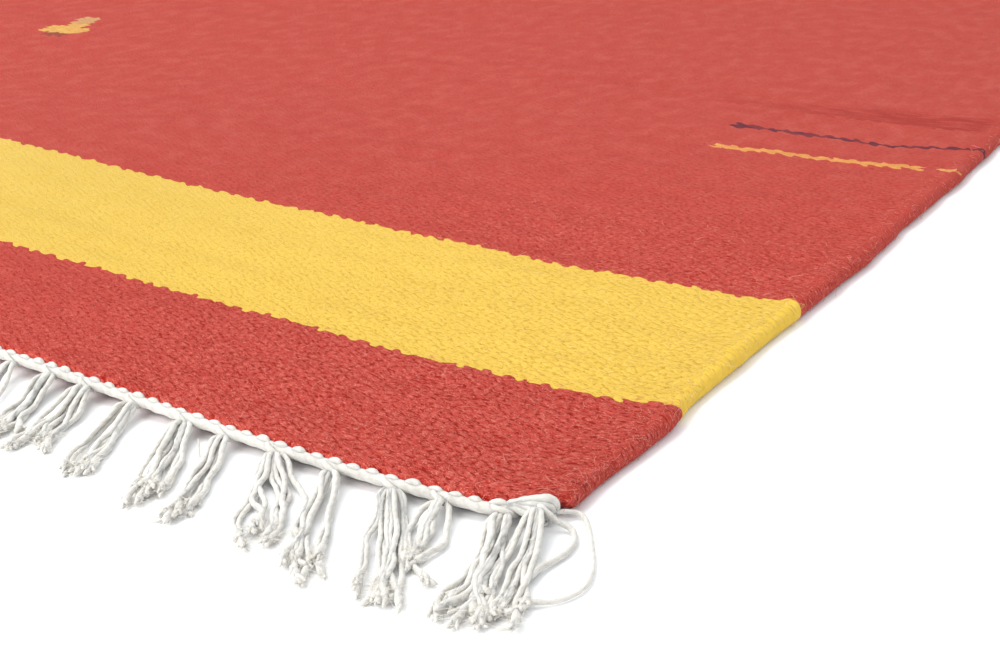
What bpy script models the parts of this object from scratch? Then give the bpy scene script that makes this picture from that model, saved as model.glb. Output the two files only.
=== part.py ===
"""Hand-woven kilim rug, 600 x 890 mm of wool cloth with knotted cotton fringes.

The cloth lies on the floor with two soft swellings near its front right corner.
Frame: +X across the rug (along the weft), +Y along the warp, +Z up, metres.
The origin is on the floor, under the middle of the rug.
"""

import math

import bmesh
import bpy

# ---------------------------------------------------------------- driving sizes
CLOTH_WIDTH = 0.600          # selvedge to selvedge
CLOTH_LENGTH = 0.890         # wool cloth, without its white ends
CLOTH_THICKNESS = 0.005
SELVEDGE_CHAMFER = 0.0012    # rounding of the two long edges
SELVEDGE_ROLL = 0.0016       # width of that rounding
SELVEDGE_SWELL = 0.0009      # the edge wanders in and out by this much
SELVEDGE_WAVE = 0.190        # length of one such wander

END_BAND = 0.060             # red band beside each white end
YELLOW_BAND = 0.079          # yellow band beyond it

CORNER_REACH = 0.016         # the ends curve inwards over this much width
CORNER_INSET = 0.009         # and by this much at the selvedge
CORNER_CURVE = 1.6           # power of that curve
CORNER_TAB = 0.004           # selvedge cord that runs on past the white end
GAP = 0.0003                 # clearance between two pieces

EDGE_DEPTH = 0.0042          # white twined end, across the rug's end
EDGE_SHOULDER = 0.0026       # where its rounding to the outer face begins
EDGE_BOTTOM = 0.0008
EDGE_TOP = 0.0044
ROOT_BOTTOM = 0.0012
ROOT_TOP = 0.0038

STRANDS = 3                  # locks in a tassel
ROOT_PITCH = 0.0023          # spacing of the locks at the white end
STRAND_WIDTH = 0.0019
STRAND_HEIGHT = 0.0018
TIP_HEIGHT = 0.0014
TASSEL_PITCH = 0.0141        # spacing of the tassels that follow the rule
TASSEL_FAN = 0.0033          # spacing of the locks at their tips
TASSEL_REACH = 0.041
TASSEL_LEAN = 21.0           # degrees, sideways from the warp
TOUCH_DOWN = 0.010           # a lock reaches the floor this far out
DROP_SLOPE = 1.1             # and this much further for each metre of lift
HALF_WAY = 0.45              # share of that way, and of the drop, at its bend

# Swellings of the cloth off the floor. Places are measured from the front right
# corner of the wool: inwards from the selvedge, and up the rug from its end.
SWELLINGS = [
    # inwards, up_rug, half_width, half_length, height
    (0.330, 0.110, 0.180, 0.190, 0.010),
    (0.200, 0.000, 0.165, 0.150, 0.008),
]

# The tassels next to that corner, one row each.
CORNER_TASSELS = [
    # inwards, lean in degrees, reach, fan
    (0.0086, 19.0, 0.045, 0.0024),
    (0.0172, 19.0, 0.043, 0.0025),
    (0.0268, 22.0, 0.040, 0.0025),
    (0.0390, 27.0, 0.042, 0.0033),
    (0.0545, 24.0, 0.043, 0.0033),
    (0.0715, 25.0, 0.038, 0.0033),
    (0.0858, 20.0, 0.037, 0.0033),
    (0.0990, 22.0, 0.036, 0.0030),
    (0.1135, 19.0, 0.036, 0.0033),
    (0.1280, 18.0, 0.035, 0.0033),
    (0.1415, 19.0, 0.036, 0.0033),
]

# Grid lines of the cloth, close together where it swells and at its rims.
COLUMNS_AT_RIM = [0.0, SELVEDGE_ROLL, CORNER_TAB, 0.010, CORNER_REACH]
COLUMN_STEPS = 18            # from one corner's reach to the other's
ROWS_IN_END_BAND = 3
ROWS_IN_YELLOW = 3
ROWS_IN_SWELLING = 6
SWELLING_END = 0.300         # nothing is lifted further up the rug than this

RED = (0.55, 0.075, 0.060, 1.0)
YELLOW = (0.90, 0.56, 0.07, 1.0)
WHITE = (0.82, 0.80, 0.76, 1.0)

HALF_WIDTH = CLOTH_WIDTH / 2
HALF_LENGTH = CLOTH_LENGTH / 2


# ---------------------------------------------------------------- shape rules
def lift(x, y):
    """Height of the underside: each swelling is a squared cosine hill."""
    inwards, up_rug = HALF_WIDTH - x, HALF_LENGTH + y
    height = 0.0
    for at_in, at_up, half_width, half_length, top in SWELLINGS:
        radius = math.hypot((inwards - at_in) / half_width, (up_rug - at_up) / half_length)
        if radius < 1.0:
            height += top * math.cos(math.pi * radius / 2) ** 2
    return height


def end_inset(x):
    """How far the cloth's end is drawn in towards the selvedges."""
    from_edge = HALF_WIDTH - abs(x)
    if from_edge >= CORNER_REACH:
        return 0.0
    return CORNER_INSET * (1.0 - max(from_edge, 0.0) / CORNER_REACH) ** CORNER_CURVE


def edge_swell(y):
    """The selvedge wanders in and out, alike on both sides."""
    return SELVEDGE_SWELL * math.cos(2 * math.pi * y / SELVEDGE_WAVE)


def make_material(name, colour, roughness):
    material = bpy.data.materials.new(name)
    material.use_nodes = True
    shader = material.node_tree.nodes["Principled BSDF"]
    shader.inputs["Base Color"].default_value = colour
    shader.inputs["Roughness"].default_value = roughness
    shader.inputs["Metallic"].default_value = 0.0
    return material


def add_object(name, bm, collection, materials):
    mesh = bpy.data.meshes.new(name)
    bmesh.ops.recalc_face_normals(bm, faces=bm.faces)
    bm.to_mesh(mesh)
    bm.free()
    for material in materials:
        mesh.materials.append(material)
    mesh.shade_smooth()
    mesh.set_sharp_from_angle(angle=math.radians(40))
    body = bpy.data.objects.new(name, mesh)
    collection.objects.link(body)
    return body


# ---------------------------------------------------------------- woven cloth
def spread(start, stop, steps):
    return [start + (stop - start) * k / steps for k in range(steps + 1)]


def grid_columns():
    """Distances across the rug, from the left selvedge to the right one."""
    middle = spread(CORNER_REACH, CLOTH_WIDTH - CORNER_REACH, COLUMN_STEPS)[1:-1]
    far_rim = [CLOTH_WIDTH - step for step in reversed(COLUMNS_AT_RIM)]
    return COLUMNS_AT_RIM + middle + far_rim


def grid_rows():
    """Distances up the rug, from one end of the wool to the other."""
    yellow_start, yellow_end = END_BAND, END_BAND + YELLOW_BAND
    near = spread(0.0, yellow_start, ROWS_IN_END_BAND)
    near += spread(yellow_start, yellow_end, ROWS_IN_YELLOW)[1:]
    near += spread(yellow_end, SWELLING_END, ROWS_IN_SWELLING)[1:]
    far = [CLOTH_LENGTH - row for row in (yellow_end, yellow_start, 0.0)]
    return near + far


def build_cloth(collection, red, yellow):
    """A grid moved onto its lines, cut to its outline and given its thickness."""
    columns, rows = grid_columns(), grid_rows()
    # one more row at each end holds the four tabs of the selvedge cords
    rows = [-EDGE_DEPTH] + rows + [CLOTH_LENGTH + EDGE_DEPTH]
    across, along = len(columns) - 1, len(rows) - 1
    bm = bmesh.new()
    bmesh.ops.create_grid(bm, x_segments=across, y_segments=along, size=0.5)

    place = {}
    for vert in bm.verts:
        place[vert] = (round((vert.co.x + 0.5) * across), round((vert.co.y + 0.5) * along))
    between_tabs = []
    for face in bm.faces:
        column = min(place[vert][0] for vert in face.verts)
        row = min(place[vert][1] for vert in face.verts)
        middle = (columns[column] + columns[column + 1]) / 2
        if row in (0, along - 1) and CORNER_TAB < middle < CLOTH_WIDTH - CORNER_TAB:
            between_tabs.append(face)
        up_rug = (rows[row] + rows[row + 1]) / 2
        from_end = min(up_rug, CLOTH_LENGTH - up_rug)
        face.material_index = int(END_BAND < from_end < END_BAND + YELLOW_BAND)

    for vert, (column, row) in place.items():
        x = columns[column] - HALF_WIDTH
        y = rows[row] - HALF_LENGTH
        # the inset fades to nothing over the length of the end band
        near_end = 1.0 - (HALF_LENGTH - abs(y)) / END_BAND
        y -= math.copysign(end_inset(x) * min(max(near_end, 0.0), 1.0), y)
        if column in (0, across):
            x += math.copysign(edge_swell(y), x)
        vert.co = (x, y, lift(x, y))
    bmesh.ops.delete(bm, geom=between_tabs, context="FACES")

    # the copy that is raised becomes the top, and both lose their outer corners
    rim = [vert for vert in bm.verts
           if place[vert][0] in (0, across) or place[vert][1] in (0, along)]
    rim_points = {vert.co.copy().freeze() for vert in rim}
    raised = bmesh.ops.extrude_face_region(bm, geom=list(bm.faces), use_keep_orig=True)
    for item in raised["geom"]:
        if isinstance(item, bmesh.types.BMVert):
            on_rim = item.co.copy().freeze() in rim_points
            item.co.z += CLOTH_THICKNESS - (SELVEDGE_CHAMFER if on_rim else 0.0)
    for vert in rim:
        vert.co.z += SELVEDGE_CHAMFER
    return add_object("woven_body", bm, collection, [red, yellow])


# ---------------------------------------------------------------- white ends
def tassel_table():
    """Every tassel of one end: inwards, lean, reach, fan."""
    tassels = list(CORNER_TASSELS)
    first = CORNER_TASSELS[-1][0]
    last = CLOTH_WIDTH - CORNER_TASSELS[0][0]
    count = round((last - first) / TASSEL_PITCH)
    for k in range(1, count + 1):
        wander = 0.0007 * math.sin(2.4 * k) if k < count else 0.0
        at_in = first + (last - first) * k / count + wander
        lean = TASSEL_LEAN + 2.0 * math.sin(1.7 * k)
        reach = TASSEL_REACH + 0.003 * math.sin(1.1 * k + 0.6)
        tassels.append((at_in, lean, reach, TASSEL_FAN))
    return tassels


def edge_section():
    """The white end's section: distance out from the wool, and height."""
    return [
        (0.0, EDGE_BOTTOM),
        (0.0, EDGE_TOP),
        (EDGE_SHOULDER, EDGE_TOP),
        (EDGE_DEPTH, ROOT_TOP),
        (EDGE_DEPTH, ROOT_BOTTOM),
        (EDGE_SHOULDER, EDGE_BOTTOM),
    ]


def edge_stations(tassels):
    """Distances from the selvedge at which the white end is cut across."""
    stations = [CORNER_TAB + GAP, CLOTH_WIDTH - CORNER_REACH]
    for at_in, _, _, _ in tassels:
        start = at_in - ROOT_PITCH * STRANDS / 2
        stations += [start + ROOT_PITCH * k for k in range(STRANDS + 1)]
    return sorted(stations + [CLOTH_WIDTH - CORNER_TAB - GAP])


def turned(x, y, side):
    """The far end is the near one turned half round; side is 1 or -1."""
    return x * side, y * side


def strand_steps(at_in, lean, reach, fan, k, root_height):
    """Centre, height and size of one lock's sections, out from the white end."""
    angle = math.radians(lean)
    out_x, out_y = math.sin(angle), -math.cos(angle)
    side_x, side_y = math.cos(angle), math.sin(angle)
    offset = (STRANDS - 1) / 2 - k
    touch = TOUCH_DOWN + DROP_SLOPE * root_height
    steps = []
    for distance, drop, height in ((HALF_WAY * touch, HALF_WAY, STRAND_HEIGHT),
                                   (touch, 0.0, STRAND_HEIGHT),
                                   (reach, 0.0, TIP_HEIGHT)):
        share = distance / reach
        aside = offset * (ROOT_PITCH * (1 - share) + fan * share)
        x = HALF_WIDTH - at_in + out_x * distance + side_x * aside
        y = -HALF_LENGTH - GAP - EDGE_DEPTH + out_y * distance + side_y * aside
        base = drop * (root_height + ROOT_BOTTOM)
        steps.append((x, y, base, height, side_x, side_y))
    return steps


def build_fringe(name, side, collection, cotton):
    """The white twined end, a bar along the cloth, with locks drawn from it."""
    tassels = tassel_table()
    stations = edge_stations(tassels)
    section = edge_section()
    bm = bmesh.new()
    bmesh.ops.create_grid(bm, x_segments=len(stations) - 1, y_segments=len(section), size=0.5)
    outer_row = section.index((EDGE_DEPTH, ROOT_TOP))
    root_faces = {}
    for face in bm.faces:
        middle = face.calc_center_median()
        if int((middle.y + 0.5) * len(section)) == outer_row:
            column = int((middle.x + 0.5) * (len(stations) - 1))
            root_faces[(stations[column] + stations[column + 1]) / 2] = face
    for vert in bm.verts:
        column = round((vert.co.x + 0.5) * (len(stations) - 1))
        turn = round((vert.co.y + 0.5) * len(section)) % len(section)
        out, height = section[turn]
        x = HALF_WIDTH - stations[column]
        y = -HALF_LENGTH + end_inset(x) - GAP - out
        x_world, y_world = turned(x, y, side)
        vert.co = (x_world, y_world, height + lift(x_world, y_world))
    bmesh.ops.remove_doubles(bm, verts=bm.verts, dist=0.00001)
    rims = [edge for edge in bm.edges if len(edge.link_faces) == 1]
    bmesh.ops.holes_fill(bm, edges=rims, sides=len(section))

    for at_in, lean, reach, fan in tassels:
        for k in range(STRANDS):
            middle = at_in + ROOT_PITCH * (k - (STRANDS - 1) / 2)
            face = root_faces[min(root_faces, key=lambda place: abs(place - middle))]
            centre = face.calc_center_median()
            inset = end_inset(turned(centre.x, centre.y, side)[0])
            root_height = lift(centre.x, centre.y)
            codes = [(turned(v.co.x - centre.x, 0, side)[0] > 0, v.co.z > centre.z)
                     for v in face.verts]
            for x, y, base, height, side_x, side_y in strand_steps(
                    at_in, lean, reach, fan, k, root_height):
                grown = bmesh.ops.extrude_discrete_faces(bm, faces=[face])
                face = grown["faces"][0]
                for vert, (is_right, is_high) in zip(face.verts, codes):
                    half = STRAND_WIDTH / 2 * (1 if is_right else -1)
                    vert_x, vert_y = turned(x + side_x * half, y + inset + side_y * half, side)
                    vert.co = (vert_x, vert_y, base + (height if is_high else 0.0))
    return add_object(name, bm, collection, [cotton])


# ---------------------------------------------------------------- assembly
def main():
    for old in list(bpy.data.objects):
        bpy.data.objects.remove(old, do_unlink=True)
    collection = bpy.data.collections.new("kilim_rug")
    bpy.context.scene.collection.children.link(collection)

    red = make_material("red_wool", RED, 0.9)
    yellow = make_material("yellow_wool", YELLOW, 0.9)
    cotton = make_material("white_cotton", WHITE, 0.85)

    build_cloth(collection, red, yellow)
    build_fringe("front_fringe", 1, collection, cotton)
    build_fringe("back_fringe", -1, collection, cotton)


main()
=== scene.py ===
# Looks of the kilim rug: wool cloth, white twined ends, cotton tassels, loose fibres, and a plain studio.
# Places on the rug are (inwards, up), in metres from the right selvedge and from the front end of the wool.
import math
import bpy
import numpy as np
from mathutils import Matrix, Vector


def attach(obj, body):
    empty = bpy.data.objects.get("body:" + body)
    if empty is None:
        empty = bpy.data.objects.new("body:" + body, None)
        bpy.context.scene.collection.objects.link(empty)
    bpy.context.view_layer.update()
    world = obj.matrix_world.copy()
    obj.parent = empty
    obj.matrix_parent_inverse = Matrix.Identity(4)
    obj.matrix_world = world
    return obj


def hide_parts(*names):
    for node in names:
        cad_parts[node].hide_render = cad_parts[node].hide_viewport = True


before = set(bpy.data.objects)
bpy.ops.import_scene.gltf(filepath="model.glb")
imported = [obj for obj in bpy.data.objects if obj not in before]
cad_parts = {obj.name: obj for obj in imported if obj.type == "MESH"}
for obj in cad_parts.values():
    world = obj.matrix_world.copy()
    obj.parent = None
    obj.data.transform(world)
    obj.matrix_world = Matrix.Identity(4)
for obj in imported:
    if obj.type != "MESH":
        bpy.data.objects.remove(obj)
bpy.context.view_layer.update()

# sizes of the cloth, shared by what is fastened to it
cloth = dict(
    width=0.600,
    length=0.890,
    thickness=0.0050,
    warpPitch=0.0028,  # one warp to the next
    pickPitch=0.00145,  # one pick of weft to the next
    warpDrift=(0.18, 0.012, 0.010),  # wander in warps, and its reach across and up
    pickDrift=(0.50, 0.018, 0.009),  # the same in picks
    endBand=0.060,  # red band beside each white end
    yellowBand=0.079,
    rollRadius=0.0025,  # rounding of the selvedge
    endReach=0.017,  # width over which the ends curve up the rug
    endRise=0.0135,
    endPower=1.8,
    endTop=0.0082,  # they level off here, more sharply with a higher number below
    endLevelling=1.6,
    beadRelief=0.00027,
    beadDip=0.55,  # dive of a weft between warps, in weft radii
    beadSlant=0.30,  # lean of a weft's bead, in picks to a warp
    beadWidth=1.02,  # half width of a weft half way down, in picks
    beadNarrow=0.21,  # and this much less where it passes over a warp
    gapFloor=0.72,  # least height, between the beads
    edgeRib=0.35,  # ribs on the selvedge, as a share of the rise over a warp
)
halfWidth = cloth["width"] / 2
halfLength = cloth["length"] / 2
pickCount = cloth["length"] / cloth["pickPitch"]
warpCount = cloth["width"] / cloth["warpPitch"]
yellowReach = (cloth["endBand"], cloth["endBand"] + cloth["yellowBand"])

# wander of the selvedge: nearer than waveStart as the photograph shows, and a wave beyond
selvedge = dict(
    reach=0.020,  # it fades out this far inwards
    # up, and how far out
    shown=[(0.000, 0.0), (0.012, -0.0004), (0.030, 0.0005), (0.052, 0.0013), (0.067, -0.0005),
           (0.090, -0.0007), (0.130, -0.0001), (0.160, 0.0003), (0.190, 0.0014), (0.210, 0.0005),
           (0.240, -0.0002), (0.280, 0.0006), (0.310, -0.0003), (0.340, 0.0)],
    waveStart=0.310,
    waveFade=0.03,
    wave=0.0007,
    waveLength=0.190,
)

# soft swellings of the cloth off the floor: inwards, up, half width, half length, height
swellings = [
    (0.330, 0.110, 0.180, 0.190, 0.010),
    (0.200, 0.000, 0.165, 0.150, 0.0012),
]

# a long shallow crease, a trough with a ridge beside it, through these points
crease = dict(
    points=[(-0.005, 0.347), (0.020, 0.341), (0.050, 0.3395), (0.095, 0.3370), (0.125, 0.3345),
            (0.155, 0.3375), (0.190, 0.3370), (0.240, 0.3435), (0.300, 0.3500)],
    depth=0.0007425,
    halfWidth=0.0046,
    fade=(0.30, 0.22),  # gone and whole this far inwards
    strength=(0.75, 0.35, 0.021),  # middle, unevenness and the length of that
)

drift = dict(
    # wefts wander up and down the rug: inwards, up, half width, half length, rise
    waves=[
        (0.200, 0.000, 0.165, 0.165, 0.0108),
        (0.170, 0.139, 0.110, 0.075, 0.0044),
        (0.200, 0.281, 0.150, 0.080, -0.0015),
        (0.420, 0.300, 0.160, 0.200, 0.0016),
        (0.330, 0.640, 0.220, 0.180, -0.0022),
        (-0.004, 0.300, 0.040, 0.105, 0.0085),
    ],
    # what is left of the end curve further up the rug: distance from the end, share
    edgeFade=[(0.0, 1.0), (0.060, 0.60), (0.139, 0.37), (0.281, 0.05), (0.330, 0.0)],
)

# shift of the beads: three waves, as sineOf takes them, and the shares of two in warps and in picks
looseness = dict(
    first=(1.93, 0.0, 2.3, 0.0, 0.61, 0.4),
    second=(0.0, 1.37, 1.9, 0.83, 0.0, 1.1),
    third=(2.70, -1.9, 1.5, 0.0, 0.47, 2.0),
    warps=(0.17, 0.13),  # of the second and third
    picks=(0.34, 0.24),  # of the first and third
)

relief = dict(
    fineWidth=0.056,  # modelled relief fades out beyond these
    fineLength=0.290,
    fade=0.012,
    puckers=0.00030,  # uneven surface
    puckerSize=(0.011, 0.009),
    slowPuckers=0.8,  # share of a slower one
    slowSize=(0.026, 0.022),
    lumps=0.00055,  # uneven selvedge
    lumpSize=(0.007, 0.0090),
    middle=0.45,  # share of the thickness that the ends round about
    endRounding=0.0018,  # the last picks roll down into the white end
    underRounding=0.0026,  # more so underneath
    cornerRounding=0.0060,  # and at the corners, which are drawn in a little as well
    tuck=0.0020,
)


# 0 below low, 1 above high, with a soft S between them
def smoothStep(low, high, value):
    share = np.clip((value - low) / (high - low), 0.0, 1.0)
    return share * share * (3.0 - 2.0 * share)


# noise from -1 to 1: random values on a unit lattice, blended by the S curve in each cell
def softNoise(x, y, seed):
    size = 128
    table = np.random.default_rng(seed).uniform(-1.0, 1.0, (size, size))
    column, row = np.floor(x).astype(int), np.floor(y).astype(int)
    shareX, shareY = smoothStep(0.0, 1.0, x - column), smoothStep(0.0, 1.0, y - row)

    def between(line):
        return (table[line % size, column % size] * (1 - shareX)
                + table[line % size, (column + 1) % size] * shareX)

    return between(row) * (1 - shareY) + between(row + 1) * shareY


# grid lines from stretches of (start, stop, step), each ruled evenly
def graded(*stretches):
    lines = [np.linspace(start, stop, max(1, round((stop - start) / step)), endpoint=False)
             for start, stop, step in stretches]
    return np.concatenate(lines + [[stretches[-1][1]]])


def addObject(name, data):
    made = bpy.data.objects.new(name, data)
    bpy.context.scene.collection.objects.link(made)
    return made


# a mesh from arrays: points, sets of faces with equal corner counts, and a UV for each corner
def newPiece(name, points, faceSets, uvSets, material):
    mesh = bpy.data.meshes.new(name)
    mesh.vertices.add(len(points))
    mesh.vertices.foreach_set("co", np.ascontiguousarray(points, dtype=np.float32).ravel())
    corners = np.concatenate([faces.ravel() for faces in faceSets]).astype(np.int32)
    sizes = np.concatenate([np.full(len(faces), faces.shape[1]) for faces in faceSets])
    mesh.loops.add(len(corners))
    mesh.loops.foreach_set("vertex_index", corners)
    mesh.polygons.add(len(sizes))
    mesh.polygons.foreach_set("loop_start", np.concatenate([[0], np.cumsum(sizes)[:-1]]).astype(np.int32))
    mesh.polygons.foreach_set("use_smooth", np.ones(len(sizes), dtype=bool))
    uvs = np.concatenate([uv.reshape(-1, 2) for uv in uvSets]).astype(np.float32)
    mesh.uv_layers.new(name="weave").data.foreach_set("uv", uvs.ravel())
    mesh.update(calc_edges=True)
    mesh.validate()
    mesh.materials.append(material)
    return addObject(name, mesh)


def trianglesOf(piece):
    return sum(len(face.vertices) - 2 for face in piece.data.polygons)


# a sum of soft hills: each is its height times the squared cosine of the distance from its middle
def hills(rows, inwards, up):
    total = np.zeros(np.broadcast(inwards, up).shape)
    for atIn, atUp, halfWide, halfLong, height in rows:
        radius = np.minimum(np.hypot((inwards - atIn) / halfWide, (up - atUp) / halfLong), 1.0)
        total = total + height * np.cos(np.pi * radius / 2) ** 2
    return total


# height of the underside at a world place
def lift(x, y):
    return hills(swellings, halfWidth - x, halfLength + y)


# the crease's height: the slope of a bell curve across it, as strong along it as slow noise allows
def creased(inwards, up):
    line = np.array(crease["points"])
    across = (up - np.interp(inwards, line[:, 0], line[:, 1])) / crease["halfWidth"]
    strength, uneven, size = crease["strength"]
    along = strength + uneven * softNoise(inwards / size, inwards * 0 + 0.3, 25)
    along = along * smoothStep(*crease["fade"], inwards)
    return -crease["depth"] * across * np.exp(-across ** 2 / 1.4) * along


# how far the cloth's end has risen up the rug near the selvedge: a power curve that levels off
def endCurve(fromEdge):
    share = np.clip(1.0 - fromEdge / cloth["endReach"], 0.0, 1.0)
    rise = cloth["endRise"] * share ** cloth["endPower"] / cloth["endTop"]
    return cloth["endTop"] * np.tanh(rise ** cloth["endLevelling"]) ** (1 / cloth["endLevelling"])


# how far up the rug a pick lies from a straight line: the end curve and the slow waves
def weftRise(inwards, up):
    fromEdge = np.minimum(inwards, cloth["width"] - inwards)
    fromEnd = np.minimum(up, cloth["length"] - up)
    distances, shares = np.array(drift["edgeFade"]).T
    side = np.where(up < halfLength, 1.0, -1.0)
    curved = side * endCurve(fromEdge) * np.interp(fromEnd, distances, shares)
    return curved + hills(drift["waves"], inwards, up)


# the cross-section unrolled: around is the distance inwards on top, and below the roll's radius it passes
# half round the selvedge and back under. Gives inwards, height, and the way out of the surface.
def sectionAt(around):
    radius, thick = cloth["rollRadius"], cloth["thickness"]
    arc = math.pi * radius
    onRight = around < halfWidth
    own = np.where(onRight, around, cloth["width"] - around)
    angle = np.pi * (np.clip((own - radius + arc) / arc, 0.0, 1.0) - 0.5)
    rolled = radius - radius * np.cos(angle)
    inwards = np.where(own >= radius, own, np.where(own <= radius - arc, 2 * radius - arc - own, rolled))
    height = thick / 2 * (1 + np.sin(angle))
    outX = np.cos(angle) * np.where(onRight, 1.0, -1.0)
    return np.where(onRight, inwards, cloth["width"] - inwards), height, outX, np.sin(angle)


# the place counted in warps and picks, with the slow wander of hand weaving
def weaveAt(around, up):
    warpSize, warpAcross, warpAlong = cloth["warpDrift"]
    pickSize, pickAcross, pickAlong = cloth["pickDrift"]
    warps = around / cloth["warpPitch"] + warpSize * softNoise(around / warpAcross, up / warpAlong, 3)
    picks = up / cloth["pickPitch"] + pickSize * softNoise(around / pickAcross, up / pickAlong, 5)
    return warps, picks


# the sine of a sum of warps and picks, bent by a slower sine of another
def sineOf(warps, picks, perWarp, perPick, bend, bendWarp, bendPick, bendStart):
    slow = np.sin(bendWarp * warps + bendPick * picks + bendStart)
    return np.sin(perWarp * warps + perPick * picks + bend * slow)


# the nearest whole number that is even, or odd where the offset is 1
def nearest(value, offset):
    return 2 * np.rint((value - offset) * 0.5) + offset


# weft-faced plain weave, in mesh and shader: odd and even picks are round ridges that rise over every other
# warp, lean and draw in there, and the higher of the two shows. Where straight is 1, at the selvedge, the
# even picks pass straight over. Gives the height, and the warp and pick of the bead that shows.
def plainWeave(warps, picks, straight):
    first, second, third = (sineOf(warps, picks, *looseness[name]) for name in ("first", "second", "third"))
    warps = warps + looseness["warps"][0] * second + looseness["warps"][1] * third
    picks = picks + looseness["picks"][0] * first + looseness["picks"][1] * third
    crossing = 1 - straight
    crest = np.cos(np.pi * warps) * crossing + cloth["edgeRib"] * straight
    beads = []
    for offset, rise in ((0, crest), (1, crest * -1)):
        warp = nearest(warps, offset)
        leaned = picks - cloth["beadSlant"] * crossing * (warps - warp)
        pick = nearest(leaned, offset)
        apart = (leaned - pick) / (cloth["beadWidth"] - cloth["beadNarrow"] * rise)
        height = cloth["beadDip"] * rise + np.sqrt(np.maximum(1 - apart * apart, 0))
        beads.append((height, warp, pick))
    (evenHeight, evenWarp, evenPick), (oddHeight, oddWarp, oddPick) = beads
    isOdd = oddHeight > evenHeight
    height = np.maximum(np.maximum(evenHeight, oddHeight), cloth["gapFloor"])
    return height, evenWarp + isOdd * (oddWarp - evenWarp), evenPick + isOdd * (oddPick - evenPick)


# a point of the cloth's skin and its way out: the section, moved by the weft's rise and the selvedge's
# wander, then pushed out by puckers, lumps and beads
def clothSurface(around, up):
    inwards, height, outX, outZ = sectionAt(around)
    fromEdge = np.minimum(inwards, cloth["width"] - inwards)
    fromEnd = np.minimum(up, cloth["length"] - up)
    tucked = (1 - smoothStep(0.001, 0.008, fromEdge)) * (1 - smoothStep(0.0, 0.014, fromEnd))
    tucked = relief["tuck"] * tucked * np.where(up < halfLength, 1.0, -1.0)
    y = up - halfLength + weftRise(inwards, up) + tucked
    x = halfWidth - inwards
    wave = selvedge["wave"] * np.cos(2 * np.pi * y / selvedge["waveLength"])
    wave = wave * smoothStep(0.0, selvedge["waveFade"], fromEnd - selvedge["waveStart"])
    shown = np.interp(np.where(x > 0, up, cloth["length"] - up), *np.array(selvedge["shown"]).T)
    x = x + np.sign(x) * (1.0 - smoothStep(0.0, selvedge["reach"], fromEdge)) * (wave + shown)
    # the last picks are rounded, as an ellipse about the cloth's middle
    reach = relief["endRounding"] + relief["cornerRounding"] * (1 - smoothStep(0.001, 0.009, fromEdge))
    middle = cloth["thickness"] * relief["middle"]
    reach = reach + relief["underRounding"] * (height < middle)
    rounding = np.sqrt(np.clip(1 - (1 - np.minimum(fromEnd / reach, 1.0)) ** 2, 0.03, 1.0))
    height = middle + (height - middle) * rounding
    above = smoothStep(-0.2, 0.9, outZ)
    (across, along), (slowAcross, slowAlong) = relief["puckerSize"], relief["slowSize"]
    puckers = softNoise(inwards / across, up / along, 21)
    puckers = puckers + relief["slowPuckers"] * softNoise(inwards / slowAcross, up / slowAlong, 22)
    swelling = (relief["puckers"] * puckers + creased(inwards, up)) * above
    across, along = relief["lumpSize"]
    onEdge = (1.0 - smoothStep(0.003, 0.009, fromEdge)) * smoothStep(-0.9, -0.4, outZ)
    swelling = swelling + relief["lumps"] * softNoise(around / across, up / along, 23) * onEdge
    fine = 1 - smoothStep(relief["fineWidth"] - relief["fade"], relief["fineWidth"], inwards)
    fine = fine * (1 - smoothStep(relief["fineLength"] - relief["fade"], relief["fineLength"], up))
    fine = fine * smoothStep(-1.0, -0.6, outZ)
    straight = 1 - smoothStep(0.0022, 0.0046, np.minimum(around, cloth["width"] - around))
    beads, _, _ = plainWeave(*weaveAt(around, up), straight)
    swelling = swelling + cloth["beadRelief"] * (beads - 0.5) * fine
    place = np.stack([x + outX * swelling, y, lift(x, y) + height + outZ * swelling], axis=-1)
    return place, np.stack([outX, np.zeros_like(outX), outZ], axis=-1)


# a value in a shader to reckon with like a number: numpy's functions and sums add Math nodes
class Wired(np.lib.mixins.NDArrayOperatorsMixin):
    operations = dict(add="ADD", subtract="SUBTRACT", multiply="MULTIPLY", divide="DIVIDE", sin="SINE",
                      cos="COSINE", sqrt="SQRT", rint="ROUND", absolute="ABSOLUTE", maximum="MAXIMUM",
                      minimum="MINIMUM", greater="GREATER_THAN", less="LESS_THAN")

    def __init__(self, socket):
        self.socket = socket

    def __array_ufunc__(self, function, method, *values):
        operation = self.operations[function.__name__]
        return build("ShaderNodeMath", dict(enumerate(values)), operation=operation)


# joins a value to a socket, or sets the socket to it
def feed(socket, value):
    if isinstance(value, Wired):
        socket.id_data.links.new(value.socket, socket)
    else:
        socket.default_value = (*value, 1.0) if socket.type == "RGBA" else value


# one output of a new node with these properties and inputs, in the tree that the inputs come from
def build(kind, inputs, output=0, tree=None, **properties):
    tree = tree or next(value.socket.id_data for value in inputs.values() if isinstance(value, Wired))
    node = tree.nodes.new(kind)
    for name, value in properties.items():
        setattr(node, name, value)
    for name, value in inputs.items():
        feed(node.inputs[name], value)
    return Wired(node.outputs[output])


# all outputs of the node that a value comes from
def outputsOf(value):
    return [Wired(socket) for socket in value.socket.node.outputs]


# smoothStep of the value, from toLow to toHigh
def ramp(value, fromLow, fromHigh, toLow=0.0, toHigh=1.0):
    inputs = {"Value": value, "From Min": fromLow, "From Max": fromHigh, "To Min": toLow, "To Max": toHigh}
    return build("ShaderNodeMapRange", inputs, interpolation_type="SMOOTHSTEP")


# 1 between low and high, and 0 elsewhere
def within(value, low, high):
    return (value > low) * (value < high)


# the first colour where the share is 0, the second where it is 1
def blend(share, first, second):
    return build("ShaderNodeMix", {0: share, 6: first, 7: second}, 2, data_type="RGBA")


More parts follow.
